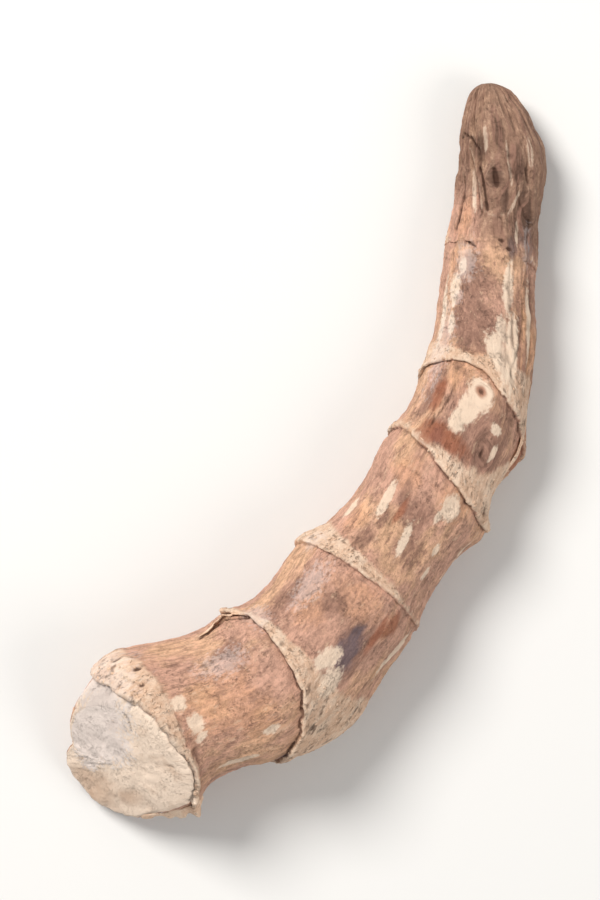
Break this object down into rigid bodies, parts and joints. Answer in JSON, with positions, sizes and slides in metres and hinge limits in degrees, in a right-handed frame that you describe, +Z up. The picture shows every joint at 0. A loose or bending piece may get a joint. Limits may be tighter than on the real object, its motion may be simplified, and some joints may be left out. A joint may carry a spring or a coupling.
{
  "type": "calamus root",
  "caption": "Curved dried calamus rhizome lying on its side, with ring-shaped leaf scars, a slanting knife cut at the thick end and a blunt narrow tip.",
  "frame": {"origin": "middle of the bounding box in plan, on the surface that the flattened underside rests on", "axes": "+Z up, +Y from the thick cut end towards the growing tip, +X to the outside of the bend"},
  "size_m": [0.051, 0.0794, 0.0145],
  "materials": {
    "bark": "dry, matt, fibrous bark with pale corky rings and a pale cut face"
  },
  "bodies": {
    "root": {"rhizome": "bark"}
  },
  "joints": []
}
